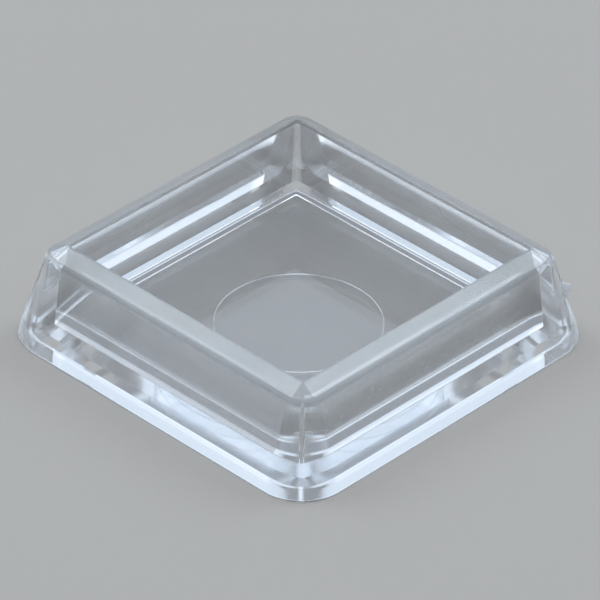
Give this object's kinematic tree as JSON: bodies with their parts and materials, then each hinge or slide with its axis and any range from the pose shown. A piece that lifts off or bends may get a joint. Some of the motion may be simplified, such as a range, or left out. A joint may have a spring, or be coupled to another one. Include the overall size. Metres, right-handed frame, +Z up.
{
  "type": "furniture coaster",
  "caption": "Square clear plastic caster cup with sloping walls and a square socket, set under a furniture leg to spread its load, with a round disc in its floor.",
  "frame": {"origin": "middle of the flat underside, on the surface that the cup stands on", "axes": "+Z up, out of the socket; the four walls face +X, -X, +Y and -Y; the gate stub is on the corner between +X and +Y"},
  "size_m": [0.0508, 0.0508, 0.0126],
  "materials": {
    "clear_body": "clear, glossy, with a satin shoulder",
    "clear_disc": "clear, glossy"
  },
  "bodies": {
    "root": {"cup": "clear_body", "floor_disc": "clear_disc"}
  },
  "joints": []
}
